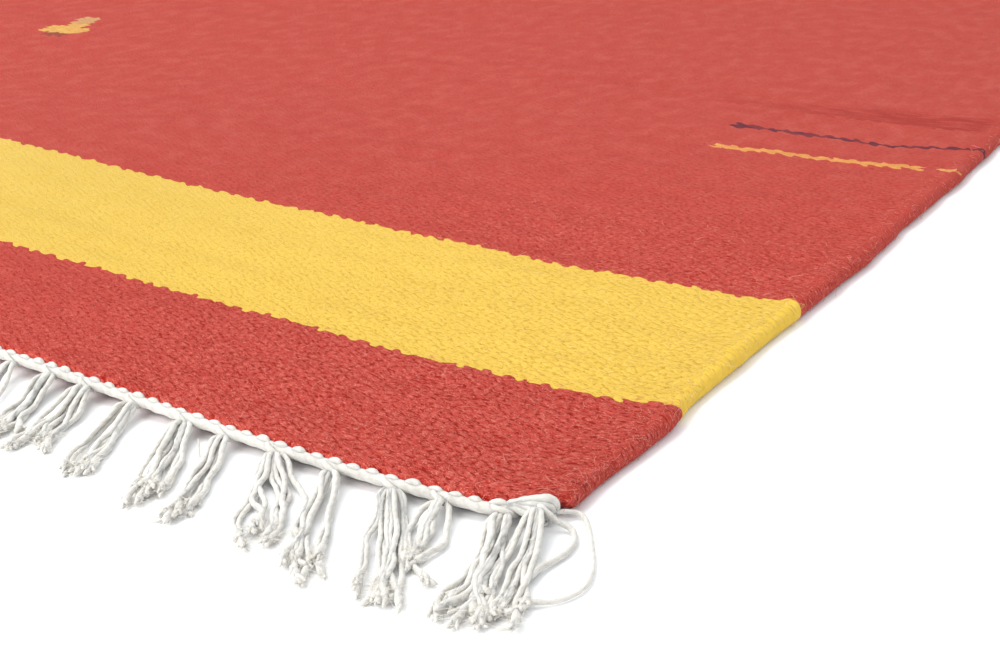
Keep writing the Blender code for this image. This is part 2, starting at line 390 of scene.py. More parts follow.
# the vector times the factors, plus the shift
def stretched(vector, factors, shift=(0, 0, 0)):
    return build("ShaderNodeVectorMath", {0: vector, 1: factors, 2: shift}, operation="MULTIPLY_ADD")


# smooth noise of the vector times the factors, plus the shift
def noise(vector, factors, detail, roughness=0.5, distortion=0.0, shift=(0, 0, 0)):
    inputs = {"Vector": stretched(vector, factors, shift), "Scale": 1.0, "Detail": detail,
              "Roughness": roughness, "Distortion": distortion}
    return build("ShaderNodeTexNoise", inputs, "Fac")


def uvOf(tree):
    return build("ShaderNodeUVMap", {}, tree=tree, uv_map="weave")


def splitOf(vector):
    return outputsOf(build("ShaderNodeSeparateXYZ", {0: vector}))[:2]


# the plain weave as a shader group, on coordinates counted in warps and picks
def makeWeaveGroup():
    tree = bpy.data.node_groups.new("weftFacedWeave", "ShaderNodeTree")
    tree.interface.new_socket(name="Coords", in_out="INPUT", socket_type="NodeSocketVector")
    for name in ("Height", "Warp", "Pick", "Tint"):
        tree.interface.new_socket(name=name, in_out="OUTPUT", socket_type="NodeSocketFloat")
    warps, picks = splitOf(build("NodeGroupInput", {}, tree=tree))
    straight = ramp(np.minimum(warps, warpCount - warps), 1.65, 0.78)
    height, warp, pick = plainWeave(warps, picks, straight)
    bead = build("ShaderNodeCombineXYZ", {0: warp, 1: pick})
    tint = build("ShaderNodeTexWhiteNoise", {"Vector": bead}, noise_dimensions="2D")
    for socket, value in zip(tree.nodes.new("NodeGroupOutput").inputs, (height, warp, pick, tint)):
        feed(socket, value)
    return tree


def newMaterial(name, roughness, sheen, sheenRoughness, sheenTint, specular=0.04):
    material = bpy.data.materials.new(name)
    material.use_nodes = True
    shader = material.node_tree.nodes["Principled BSDF"]
    for socket, value in (("Roughness", roughness), ("Sheen Weight", sheen), ("Sheen Tint", sheenTint),
                          ("Sheen Roughness", sheenRoughness), ("Specular IOR Level", specular)):
        feed(shader.inputs[socket], value)
    return material, shader


# colour and bumps onto a shader
def finish(shader, colour, height, strength, distance):
    feed(shader.inputs["Base Color"], colour)
    bump = build("ShaderNodeBump", {"Strength": strength, "Distance": distance, "Height": height})
    feed(shader.inputs["Normal"], bump)


wool = dict(
    # each dye near the front right corner and far from it (darker and greyer there: painted shade and haze),
    # in dark and pale places (pale partly a painted highlight on bead tops), and in the painted shade of the
    # gaps
    red=(0.540, 0.063, 0.048),
    redFarShadeHaze=(0.416, 0.0625, 0.0490),
    redDeep=(0.356, 0.022, 0.015),
    redPale=(0.788, 0.281, 0.216),
    redGapShade=(0.292, 0.011, 0.006),
    redRun=(0.330, 0.035, 0.028),
    yellow=(0.755, 0.500, 0.084),
    yellowFarShadeHaze=(0.605, 0.415, 0.089),
    yellowDeep=(0.610, 0.375, 0.038),
    yellowPale=(0.790, 0.600, 0.215),
    yellowGapShade=(0.400, 0.195, 0.014),
    yellowRollLight=(0.880, 0.580, 0.072),  # painted light round the selvedge roll, which the lamps leave in shade
    gold=(0.650, 0.300, 0.082),
    straw=(0.600, 0.355, 0.095),
    tan=(0.490, 0.300, 0.125),
    purple=(0.113, 0.024, 0.037),
    brown=(0.216, 0.054, 0.037),
    gapShadeDepth=0.95,  # how much of the painted shade the gaps between wefts take
    nearCorner=(0.08, 0.34),  # the corner's roughness eases between these distances
    evenSpun=0.24,  # share of the unevenness left far from the corner
    yellowEven=0.50,  # and in the yellow band
    mottleDeep=0.16,  # slow darker and paler mottling away from the corner
    mottlePale=0.055,
    fibreLean=-0.30,
    relief=0.00050,
    flatShare=0.38,  # share of the relief that even spinning leaves
    middleHeight=2.95,
)

# runs of a darker dye in the red: first and last pick, nearer and further edge inwards, depth
darkRuns = [
    (231, 246, 0.004, 0.050, 1.00),
    (231, 243, 0.036, 0.084, 0.90),
    (233, 239, 0.080, 0.116, 0.65),
    (238, 244, 0.108, 0.190, 0.28),
    (98, 103, 0.060, 0.150, 0.20),
    (150, 158, 0.110, 0.260, 0.16),
]

# wefts of other colours part of the way across, and a dark brown band in front of the motif: first and last
# pick, nearer and further edge inwards, colour
stitches = [
    (191, 193, 0.0115, 0.0895, "gold"),
    (191, 192, 0.0010, 0.0075, "straw"),
    (211, 212, -0.0060, 0.0925, "purple"),
    (210, 210, 0.0560, 0.0720, "purple"),
    (210, 213, 0.0860, 0.0930, "purple"),
    (217, 225, 0.4420, 0.4665, "straw"),
    (226, 230, 0.4495, 0.4620, "straw"),
    (231, 235, 0.4520, 0.4640, "tan"),
    (236, 240, 0.4560, 0.4660, "tan"),
    # a soft dark brown band just in front of the motif
    (213, 216, 0.4440, 0.4580, "brown"),
]


# hand-spun wool: bands and lines by pick, uneven dye, painted shade in the gaps, a painted highlight on bead
# tops, painted shade and haze far from the front right corner, streaky fibres
def makeWool():
    material, shader = newMaterial("handspunWool", 0.95, 0.055, 0.4, (1.0, 0.60, 0.50))
    coords = uvOf(material.node_tree)
    weave = build("ShaderNodeGroup", {"Coords": coords}, node_tree=weaveGroup)
    beads, warp, pick, tint = outputsOf(weave)

    # fibres that lean along the beads, single pale ones, and patches of uneven spinning and dyeing
    leaned = build("ShaderNodeMapping", {"Vector": coords, "Rotation": (0.0, 0.0, wool["fibreLean"]),
                                         "Scale": (1.0, 0.52, 1.0)}, vector_type="POINT")
    streaks = noise(leaned, (1.5, 4.2, 0), 3.0, 0.6, 0.5)
    fibres = noise(leaned, (2.4, 8.5, 0), 2.0, 0.65, 1.0)
    specks = noise(leaned, (2.1, 7.0, 0), 3.0, 0.7, 2.0, (7.0, 3.0, 0))
    patches = noise(coords, (0.045, 0.10, 0), 3.0, 0.55)
    courses = noise(coords, (0.006, 0.16, 0), 2.0)
    mottle = noise(coords, (0.36, 0.125, 0), 2.0)
    tone = 1.3 * streaks + 0.24 * tint + fibres + 0.16 * patches + 0.20 * courses  # about 1.45

    # the photographed corner is the roughest, and the rest of the rug is spun more evenly
    fromEnd = np.minimum(pick, round(pickCount) - pick)
    inYellow = within(fromEnd, *(round(place / cloth["pickPitch"]) - 0.5 for place in yellowReach))
    place = stretched(coords, (cloth["warpPitch"], cloth["pickPitch"], 0))
    fromCorner = build("ShaderNodeVectorMath", {0: place}, "Value", operation="LENGTH")
    distant = ramp(fromCorner, *wool["nearCorner"])
    rough = (1 - (1 - wool["evenSpun"]) * distant) * (1 - (1 - wool["yellowEven"]) * inYellow)
    mottleDeep = ramp(mottle, 0.52, 0.34, 0.0, wool["mottleDeep"]) * distant
    mottlePale = ramp(mottle, 0.50, 0.66, 0.0, wool["mottlePale"]) * distant
    darker = ramp(tone, 1.48, 1.12) * rough
    # the tops of the beads are paler: a painted highlight; the specks are single pale fibres
    crest = ramp(beads, 1.15, 1.52, 0.0, 0.4) * ramp(tone, 1.38, 1.78)
    paleSpecksAndHighlight = np.maximum(crest, ramp(specks, 0.55, 0.64)) * rough * rough
    # painted shade in the gaps between the wefts, lighter round the selvedge
    gap = ramp(beads, 1.34, 0.92) * ramp(streaks, 0.50, 0.41, 0.04, wool["gapShadeDepth"]) * rough
    gap = gap * ramp(warp, 0.6, 2.2, 0.6, 1.0)

    # each dye turns to its far colour, a painted shade and haze, then mottles, goes darker and paler (paler
    # partly the painted highlight), and takes its painted gap shade
    def yarn(name):
        colour = wool[name]
        for share, kind in ((distant, "FarShadeHaze"), (mottleDeep, "Deep"), (mottlePale, "Pale"), (darker, "Deep"),
                            (paleSpecksAndHighlight, "Pale"), (gap, "GapShade")):
            colour = blend(share, colour, wool[name + kind])
        return colour

    red, yellow = yarn("red"), yarn("yellow")
    uneven = ramp(noise(coords, (0.22, 0.75, 0), 2.0), 0.36, 0.58, 0.20, 1.0)
    for firstPick, lastPick, near, far, depth in darkRuns:
        near, far = near / cloth["warpPitch"], far / cloth["warpPitch"]
        here = ramp(pick, firstPick - 1, firstPick) * ramp(pick, lastPick + 1, lastPick - 3) * uneven
        here = here * ramp(warp, near - 1, near + 3, 0.0, depth) * ramp(warp, far + 3, far - 4)
        red = blend(here, red, wool["redRun"])
    # the yellow round the selvedge roll is painted lighter: painted light
    yellow = blend(ramp(warp, 1.4, -0.4, 0.0, 0.7), yellow, wool["yellowRollLight"])
    colour = blend(inYellow, red, yellow)
    # the coloured wefts are thin, so some red shows between their beads
    thinness = ramp(tint, 0.0, 1.0, 0.78, 1.0)
    for firstPick, lastPick, near, far, name in stitches:
        here = within(warp, near / cloth["warpPitch"], far / cloth["warpPitch"])
        here = here * within(pick, firstPick - 0.5, lastPick + 0.5) * thinness
        colour = blend(here, colour, wool[name])

    # the relief is lower, about its middle, where the spinning is more even
    height = 2.0 * streaks + 0.60 * beads + 1.2 * fibres + 0.8 * specks + 0.35 * tint - wool["middleHeight"]
    height = height * (wool["flatShare"] + (1 - wool["flatShare"]) * rough)
    finish(shader, colour, height, 1.0, wool["relief"])
    return material


cotton = dict(
    white=(0.605, 0.590, 0.555),
    darkToneAndShade=(0.510, 0.493, 0.455),
    plyLay=0.0062,  # length of one turn of the yarn's two plies
    glow=0.5,  # light that passes through the fibres
    glowReach=0.0012,
    fluffScale=1400.0,
    slubScale=160.0,
    relief=0.00034,
)


# undyed cotton yarn: the UV map holds the share round the yarn and the length along it
def makeCotton():
    material, shader = newMaterial("undyedCotton", 0.90, 0.14, 0.5, (1.0, 0.99, 0.96))
    for socket, value in (("Subsurface Weight", cotton["glow"]), ("Subsurface Radius", (1.0, 0.95, 0.85)),
                          ("Subsurface Scale", cotton["glowReach"])):
        feed(shader.inputs[socket], value)
    share, length = splitOf(uvOf(material.node_tree))
    ply = abs(np.cos((share + length / cotton["plyLay"]) * (2 * math.pi)))
    place = build("ShaderNodeTexCoord", {}, "Object", material.node_tree)
    fluff = noise(place, [cotton["fluffScale"]] * 3, 3.0, 0.65, 0.8)
    slub = noise(place, [cotton["slubScale"]] * 3, 2.0)
    # the ply term darkens the grooves between the plies, a painted shade; fluff and slub are uneven tone
    tone = 0.12 * ply + 0.6 * fluff + 0.5 * slub
    colour = blend(ramp(tone, 0.42, 0.74), cotton["darkToneAndShade"], cotton["white"])
    finish(shader, colour, 0.30 * np.sqrt(ply) + fluff, 0.9, cotton["relief"])
    return material


# single fibres: the first UV value is the tone of each, and the second is 1 in the yellow band
def makeFibre(name, dark, pale, yellowPale=None):
    material, shader = newMaterial(name, 0.75, 0.3, 0.4, (1.0, 0.9, 0.85))
    tone, inYellow = splitOf(uvOf(material.node_tree))
    colour = blend(tone, dark, pale)
    if yellowPale:
        colour = blend(inYellow, colour, blend(tone, wool["yellow"], yellowPale))
    feed(shader.inputs["Base Color"], colour)
    return material


weaveGroup = makeWeaveGroup()
woolMaterial = makeWool()
cottonMaterial = makeCotton()
woolFibre = makeFibre("looseWool", (0.57, 0.075, 0.058), (0.78, 0.30, 0.235), (0.86, 0.66, 0.30))
cottonFibre = makeFibre("looseCotton", (0.78, 0.74, 0.65), (0.88, 0.85, 0.78))
print("materials ready")

# the cloth's grid, finest at the photographed corner
grid = dict(
    fineStep=0.00070,
    rollSteps=11,
    farRollSteps=8,
    underStep=0.045,
    farEdge=0.003,
    endGapShade=0.00004,
    endRows=0.0021,  # the last rows are close, where the cloth is rounded
)


# one closed skin: a ring round the section for each row up the rug, and a cap at each end
def makeCloth():
    radius, width, length = cloth["rollRadius"], cloth["width"], cloth["length"]
    arc = math.pi * radius
    roll = np.linspace(radius - arc, radius, grid["rollSteps"], endpoint=False)
    top = graded((radius, 0.050, grid["fineStep"]), (0.050, 0.160, 0.0024), (0.160, width - 0.030, 0.010),
                 (width - 0.030, width - radius, grid["farEdge"]))
    farRoll = np.linspace(width - radius, width - radius + arc, grid["farRollSteps"])[1:]
    under = graded((0.0, halfWidth - radius, grid["underStep"]))[1:]
    around = np.concatenate([(radius - arc) - under[::-1][1:], roll, top, farRoll,
                             (width - radius + arc) + under])
    gap, close = grid["endGapShade"], grid["endRows"]
    rows = graded((gap, close, 0.00035), (close, 0.150, 0.00073), (0.150, 0.290, 0.00098),
                  (0.290, 0.365, 0.0021), (0.365, length - close, 0.0080),
                  (length - close, length - gap, 0.00042))
    aroundGrid, upGrid = np.meshgrid(around, rows)
    places, _ = clothSurface(aroundGrid, upGrid)
    uv = np.stack(weaveAt(aroundGrid, upGrid), axis=-1).reshape(-1, 2)
    count = len(around)
    index = np.arange(places.shape[0] * count).reshape(-1, count)
    nextIndex = np.roll(index, -1, axis=1)
    quads = np.stack([index[:-1], nextIndex[:-1], nextIndex[1:], index[1:]], axis=-1)
    quads = quads.reshape(-1, 4)[:, ::-1]
    uvQuads = uv[quads]
    # the strip that closes the rings carries its coordinates on past the last one
    isFirst = quads % count == 0
    closing = (quads % count == count - 1).any(axis=1) & isFirst.any(axis=1)
    beyond = uv[count - 1, 0] + grid["underStep"] / cloth["warpPitch"]
    uvQuads[..., 0] = np.where(closing[:, None] & isFirst, beyond, uvQuads[..., 0])
    front, back = index[:1], index[-1:, ::-1]
    return newPiece("wovenCloth", places.reshape(-1, 3), [quads, front, back],
                    [uvQuads, uv[front], uv[back]], woolMaterial)


wovenCloth = makeCloth()
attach(wovenCloth, "root")
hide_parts("woven_body")
print("cloth:", trianglesOf(wovenCloth), "triangles")


def unit(vectors):
    return vectors / np.maximum(np.linalg.norm(vectors, axis=-1, keepdims=True), 1e-12)


# tubes along paths (tube, step, xyz) with a radius at each step: the section is a circle drawn in at two
# opposite places, and this waist turns once round in each lay. Gives points, faces and UVs.
def carryTubes(paths, radii, sides, lobeDepth=0.0, lay=1.0, start=0):
    tubes, steps = paths.shape[:2]
    tangent = unit(np.gradient(paths, axis=1))
    across = unit(np.cross(tangent, [0.0, 0.0, 1.0]))
    upward = np.cross(across, tangent)
    pieces = np.linalg.norm(np.diff(paths, axis=1), axis=-1)
    lengths = np.concatenate([np.zeros((tubes, 1)), np.cumsum(pieces, axis=1)], axis=1)
    angle = 2 * np.pi * np.arange(sides) / sides
    waist = np.cos(angle[None, None] + 2 * np.pi * lengths[..., None] / lay) ** 2
    radius = radii[..., None] * (1 - lobeDepth * (1 - waist))
    ring = (np.cos(angle)[None, None, :, None] * across[:, :, None]
            + np.sin(angle)[None, None, :, None] * upward[:, :, None])
    points = paths[:, :, None] + radius[..., None] * ring
    index = start + np.arange(tubes * steps * sides).reshape(tubes, steps, sides)
    nextIndex = np.roll(index, -1, axis=2)
    quads = np.stack([index[:, :-1], index[:, 1:], nextIndex[:, 1:], nextIndex[:, :-1]], axis=-1)
    share = np.broadcast_to(np.arange(sides) / sides, (tubes, steps, sides))
    along = np.broadcast_to(lengths[..., None], share.shape)
    here, there = np.stack([share, along], axis=-1), np.stack([share + 1 / sides, along], axis=-1)
    uvQuads = np.stack([here[:, :-1], here[:, 1:], there[:, 1:], there[:, :-1]], axis=-2).reshape(-1, 4, 2)
    faceSets = [quads.reshape(-1, 4), index[:, 0], index[:, -1, ::-1]]
    return points.reshape(-1, 3), faceSets, [uvQuads, here[:, 0], here[:, -1]]


# one mesh from batches of tubes (paths, radii, sides, lobeDepth, lay)
def yarnPiece(name, batches):
    points, faceSets, uvSets, start = [], [], [], 0
    for paths, radii, sides, lobeDepth, lay in batches:
        made, faces, uvs = carryTubes(paths, radii, sides, lobeDepth, lay, start)
        start += len(made)
        points.append(made)
        faceSets += faces
        uvSets += uvs
    return newPiece(name, np.concatenate(points), faceSets, uvSets, cottonMaterial)


# a curve through the given points, by Catmull and Rom's rule, at even steps of its parameter
def smoothPath(points, steps):
    points = np.asarray(points, float)
    points = np.concatenate([[2 * points[0] - points[1]], points, [2 * points[-1] - points[-2]]])
    at = np.linspace(0, len(points) - 3 - 1e-9, steps)
    base = at.astype(int)
    share = (at - base)[:, None]
    before, here, after, beyond = (points[base + k] for k in range(4))
    return 0.5 * (2 * here + (after - before) * share
                  + (2 * before - 5 * here + 4 * after - beyond) * share ** 2
                  + (3 * here - before - 3 * after + beyond) * share ** 3)


# the far end, of side -1, is the near one turned half round in plan
def turned(points, side):
    return points * np.array([side, side, 1.0])


# rounds both ends of a yarn: the root of the shorter way to an end
def blunt(share, slope, least):
    return np.sqrt(np.clip(np.minimum(share, 1 - share) * slope + least, 0, 1))


edge = dict(
    endAt=0.0040,  # its ends stop this far from the selvedge
    step=0.0007,
    # row of stitches, cord and foot: distance out from the wool, height, radius, depth of lobes, lay
    stitches=(0.0002, 0.0042, 0.00088, 0.03, 0.0112),
    cord=(0.0006, 0.0030, 0.00136, 0.16, 0.0106),
    foot=(-0.0016, 0.0011, 0.00090, 0.10, 0.0090),  # set back below, in the cord's shadow
    pitch=0.0053,  # one stitch to the next
    stitchShare=0.80,  # share of the pitch that a stitch takes
    sink=0.00055,  # how far the row dips between them
    wander=0.00016,
    sides=14,  # faces round each yarn, and at the far end
    farSides=8,
)


# points along the cloth's front end at a distance out from it and a height over its underside. The far end,
# before it is turned round, is the same without the slow waves and swellings.
def edgeLine(inwards, out, height, side=1):
    isNear = side > 0
    rise = endCurve(np.minimum(inwards, cloth["width"] - inwards))
    rise = rise + hills(drift["waves"], inwards, 0.0) * isNear
    slope = np.gradient(rise, inwards)
    lean = 1 / np.sqrt(1 + slope ** 2)
    x = halfWidth - inwards - out * slope * lean
    y = -halfLength + rise - out * lean
    return np.stack([x, y, height + lift(x, y) * isNear], axis=-1)


# an uneven cord of two plies with a row of stitches on it: each swells quickly, thins out slowly towards the
# far selvedge, and sinks into the cord before the next
def makeEdge(name, side):
    inwards = np.arange(edge["endAt"], cloth["width"] - edge["endAt"], edge["step"])
    count = np.arange(len(inwards))
    ends = np.minimum(1.0, np.sqrt(np.minimum(count, count[::-1]) / 3 + 0.05))

    def along(size, line, seed):
        return softNoise(inwards / size, inwards * 0 + line, seed)

    place = inwards / edge["pitch"] + 0.16 * along(0.013, 0.7, 36)
    share = np.clip((place - np.floor(place)) / edge["stitchShare"], 0.0, 1.0) ** 0.85
    size = 1 + 0.22 * softNoise(np.floor(place) * 1.7, inwards * 0 + 0.2, 37)
    bumps = np.sin(np.pi * share) ** 0.8 * size
    batches = []
    for number, yarn in enumerate(("stitches", "cord", "foot")):
        out, height, radius, lobeDepth, lay = edge[yarn]
        wander = edge["wander"] * along(0.0062, 0.4 + 2 * number, 31)
        uneven = 1 + 0.07 * along(0.0050, 0.5 + 2 * number, 33) + 0.05 * along(0.0021, 2.5 + 2 * number, 34)
        sunk = 0.0
        if yarn == "stitches":
            uneven = uneven * (0.25 + 0.75 * bumps)
            sunk = edge["sink"] * (1 - bumps)
        path = edgeLine(inwards, out + wander + 0.5 * sunk, height + 0.7 * wander - sunk, side)
        sides = edge["sides"] if side > 0 else edge["farSides"]
        batches.append((turned(path, side)[None], (radius * uneven * ends)[None], sides, lobeDepth, lay))
    return yarnPiece(name, batches)


frontEdge = makeEdge("frontTwinedEdge", 1)
backEdge = makeEdge("backTwinedEdge", -1)
print("twined ends ready")

tassel = dict(
    yarnRadius=0.00072,
    rootOut=0.0014,  # where the yarns leave the cord at the end
    rootHeight=0.0024,
    rootSpread=0.00060,  # spacing of the yarns at the root
    drop=0.011,  # a yarn reaches the floor this far out
    wave=0.0011,
    bow=0.0016,
    wrapRadius=0.00074,
    pitch=0.0141,
    lean=21.0,  # degrees, sideways from the warp
    reach=0.041,
    farSpread=0.0021,
    farWave=0.9,
)

# tassels near the photographed corner: inwards, tip sideways, tip out, yarns, spread, waviness, belly
cornerTassels = [
    (0.0118, 0.0132, 0.0385, 9, 0.0012, 1.5, 0.0),
    (0.0258, 0.0072, 0.0226, 6, 0.0004, 0.7, 0.0008),
    (0.0390, 0.0245, 0.0385, 10, 0.0017, 1.1, 0.0),
    (0.0553, 0.0215, 0.0400, 8, 0.0016, 0.9, 0.0),
    (0.0722, 0.0235, 0.0330, 9, 0.0018, 1.7, 0.0003),
    (0.0880, 0.0150, 0.0350, 6, 0.0013, 0.9, 0.0),
    (0.1012, 0.0160, 0.0330, 8, 0.0015, 0.7, 0.0),
    (0.1192, 0.0120, 0.0325, 7, 0.0015, 0.7, 0.0),
    (0.1364, 0.0095, 0.0290, 8, 0.0016, 0.8, 0.0),
    (0.1500, 0.0110, 0.0320, 7, 0.0016, 0.8, 0.0),
]


# how finely tassels are made: steps of a yarn, a ply and a wrap; fibres on a ply and on a yarn as (number,
# longest, curl); starts of the seeds; and the sides, depth of lobes and lay of each part
nearDetail = dict(
    steps=(58, 9, 12),
    fibres=((12, 0.0020, 1.2), (8, 0.0016, 0.6)),
    seeds=(100, 200, 300, 400),
    shapes=dict(yarn=(9, 0.09, 0.0062), ply=(6, 0.10, 0.004), wrap=(9, 0.05, 0.006)),
)
ruledDetail = dict(
    steps=(22, 5, 7),
    fibres=((2, 0.0020, 0.6), (0, 0.0016, 0.6)),
    seeds=(0, 500, 800, 900),
    shapes=dict(wrap=(6, 0.0, 0.006), yarn=(6, 0.10, 0.00992), ply=(4, 0.0, 0.004)),
)


# the other tassels, at an even pitch with small differences: inwards, tip sideways, tip out
def tasselRows():
    first, last = cornerTassels[-1][0], cloth["width"] - 0.0086
    count = round((last - first) / tassel["pitch"])
    number = np.arange(1, count + 1)
    atIn = first + (last - first) * number / count + 0.0007 * np.sin(2.4 * number) * (number < count)
    lean = np.radians(tassel["lean"] + 2.0 * np.sin(1.7 * number))
    reach = tassel["reach"] + 0.003 * np.sin(1.1 * number + 0.6)
    return list(zip(atIn, reach * np.sin(lean), reach * np.cos(lean)))


# rows as the table's, with what the rule gives every tassel
def asRuled(rows):
    return [(*row[:3], 5 + number * 7 % 3, tassel["farSpread"], tassel["farWave"], 0.0)
            for number, row in enumerate(rows)]


# the yarns of a tassel: straight lines from a close root to a wider tip, bowed and waved sideways, that sink
# from the cord to the floor and lie over each other where they cross
def yarnPaths(root, tip, yarns, spread, wave, steps, seed, fan=1.2, rootSpread=tassel["rootSpread"],
              belly=0.0):
    dice = np.random.default_rng(seed)
    share = np.linspace(0, 1, steps)[None]
    rank = np.arange(yarns)[:, None] - (yarns - 1) / 2
    reach = 1 + dice.uniform(-0.17, 0.10, (yarns, 1))
    length = np.hypot(*(tip - root[:2]))
    heading = (tip - root[:2]) / length
    sideways = np.array([-heading[1], heading[0]])
    shuffled = dice.permutation(yarns)[:, None] - (yarns - 1) / 2
    endRank = 0.82 * rank + 0.18 * shuffled
    away = rootSpread * rank * (1 - share) * (0.5 + 0.5 * smoothStep(0.0, 0.13, share))
    away = away + spread * endRank * share ** fan
    away = away + (dice.uniform(-1, 1, (yarns, 1)) * tassel["bow"] + belly * rank) * np.sin(np.pi * share)
    for turns, size in ((1.0, 0.9), (1.9, 0.50), (3.4, 0.16), (5.6, 0.08)):
        phase = dice.uniform(0, 2 * np.pi, (yarns, 1))
        stretch = turns * dice.uniform(0.8, 1.25, (yarns, 1))
        waved = np.sin(2 * np.pi * stretch * share + phase)
        away = away + wave * tassel["wave"] * size * (share ** 0.8) * waved
    forward = length * reach * share
    x = root[0] + heading[0] * forward + sideways[0] * away
    y = root[1] + heading[1] * forward + sideways[1] * away
    radius = tassel["yarnRadius"]
    fall = 1 - smoothStep(0.0, 1.0, forward / (tassel["drop"] + root[2]))
    level = dice.permutation(yarns)[:, None] % 3
    stacked = level * radius * 0.95 * (1 - 0.75 * smoothStep(0.15, 0.9, share))
    ripple = 0.0003 * (1 + np.sin(2 * np.pi * (2.3 * share + dice.uniform(0, 1, (yarns, 1)))))
    z = radius + fall * (root[2] - radius) + stacked * smoothStep(0.0, 0.12, share) + ripple * share
    radii = radius * (1 + 0.09 * softNoise(share * 9 + seed, rank * 3.0 + 40, 41))
    radii = radii * (1 + 0.08 * softNoise(share * 23 + seed, rank * 5.0 + 10, 42))
    radii = radii * dice.uniform(0.86, 1.08, (yarns, 1))
    tipTaper = 1 + 0.42 * smoothStep(0.80, 0.92, share) - 1.05 * smoothStep(0.93, 1.0, share)
    radii = radii * tipTaper * np.minimum(1.0, 0.35 + share * 12)
    return np.stack([x, y, np.maximum(z, radii)], axis=-1), radii


# the open end of each yarn: four soft blunt plies that leave it near its tip and curl
def openPlies(paths, steps, seed):
    dice = np.random.default_rng(seed)
    plies = 4
    total = len(paths) * plies
    which = np.repeat(np.arange(len(paths)), plies)
    back = (paths.shape[1] * dice.uniform(0.84, 0.95, total)).astype(int)
    heading = unit(paths[which, back] - paths[which, back - 2])
    along = np.linspace(0, 1, steps)[None]
    share = along[..., None]
    length = dice.uniform(0.0014, 0.0034, (total, 1, 1))
    flat = np.array([1.0, 1.0, 0.35])
    sideways = dice.normal(0, 0.15, (total, 1, 3)) * flat
    curled = dice.normal(0, 0.30, (total, 1, 3)) * flat
    strands = paths[which, back][:, None] + length * (heading[:, None] * share + sideways * share
                                                      + curled * share ** 2)
    strands = strands + dice.normal(0, 0.00030, (total, 1, 3)) * smoothStep(0.0, 0.3, share)
    thick = tassel["yarnRadius"] * dice.uniform(0.50, 1.00, (total, 1))
    thick = thick * np.sqrt(np.clip((1 - along) * 6.0 + 0.05, 0, 1))
    thick = thick * (1 + 0.16 * np.sin(8 * along + which[:, None]))
    strands[..., 2] = np.maximum(strands[..., 2], thick * 0.9)
    return strands, thick


# short fibres on yarns: each starts on the skin, follows the yarn for a way and curls
def strayFibres(paths, radii, each, longest, curl, seed):
    dice = np.random.default_rng(seed)
    shortest, steps = 0.0005, 5
    total = len(paths) * each
    which = np.repeat(np.arange(len(paths)), each)
    at = dice.integers(1, paths.shape[1] - 1, total)
    tangent = unit(paths[which, at + 1] - paths[which, at - 1])
    out = unit(np.cross(tangent, dice.normal(0, 1, (total, 3))))
    share = np.linspace(0, 1, steps)
    length = shortest + (longest - shortest) * dice.random((total, 1, 1)) ** 1.6
    heading = tangent * dice.uniform(-0.9, 0.9, (total, 1)) + out * dice.uniform(0.2, 0.8, (total, 1))
    curled = dice.normal(0, curl, (total, 1, 3)) * np.array([1.0, 1.0, 0.7])
    start = paths[which, at] + out * radii[which, at][:, None] * 0.9
    along = share[None, :, None]
    strands = start[:, None] + length * (heading[:, None] * along + curled * along ** 2)
    width = dice.uniform(0.00003, 0.00006, (total, 1)) * (1 - 0.4 * share[None])
    strands[..., 2] = np.maximum(strands[..., 2], width + 0.00005)
    return strands, width


# a ply of the cord passes over a tassel's root and down on its right: a smooth curve through four points
def rootWrap(atIn, side, steps):
    inwards = atIn + np.array([0.0030, 0.0010, -0.0010, -0.0026])
    out, height = np.array([0.0004, 0.0019, 0.0024, 0.0014]), np.array([0.0036, 0.0036, 0.0029, 0.0016])
    path = smoothPath(edgeLine(inwards, out, height, side), steps)
    return path[None], (tassel["wrapRadius"] * blunt(np.linspace(0, 1, steps), 6, 0.1))[None]


# the yarns, plies and wraps of a row of tassels, and the frayed fibres on them
def tasselYarns(rows, detail, side=1, seed=0):
    batches, tips = [], []
    yarnSteps, plySteps, wrapSteps = detail["steps"]
    for number, (atIn, tipSide, tipOut, yarns, spread, wave, belly) in enumerate(rows):
        yarnSeed, plySeed, *fibreSeeds = (seed + start + number for start in detail["seeds"])
        root = edgeLine(np.array([atIn, atIn + 0.0005]), tassel["rootOut"], tassel["rootHeight"], side)[0]
        tip = root[:2] + np.array([tipSide, -tipOut])
        yarn = yarnPaths(root, tip, yarns, spread, wave, yarnSteps, yarnSeed, belly=belly)
        ply = openPlies(yarn[0], plySteps, plySeed)
        parts = dict(yarn=yarn, ply=ply, wrap=rootWrap(atIn, side, wrapSteps))
        for name, shape in detail["shapes"].items():
            paths, radii = parts[name]
            batches.append((turned(paths, side), radii, *shape))
        for part, fibres, fibreSeed in zip((ply, yarn), detail["fibres"], fibreSeeds):
            strands, width = strayFibres(*part, *fibres, fibreSeed)
            tips.append((turned(strands, side), width))
    return batches, tips


ruled = tasselRows()
nearBatches, nearTips = tasselYarns(cornerTassels, nearDetail)
frontBatches, frontTips = tasselYarns(asRuled(ruled), ruledDetail, 1, 1000)
backBatches, backTips = tasselYarns(asRuled(cornerTassels + ruled), ruledDetail, -1, 2000)


# turns (inwards, up, height) in millimetres into world places
def onRug(rows):
    rows = np.asarray(rows, float) / 1000
    return np.stack([halfWidth - rows[:, 0], rows[:, 1] - halfLength, rows[:, 2]], axis=-1)


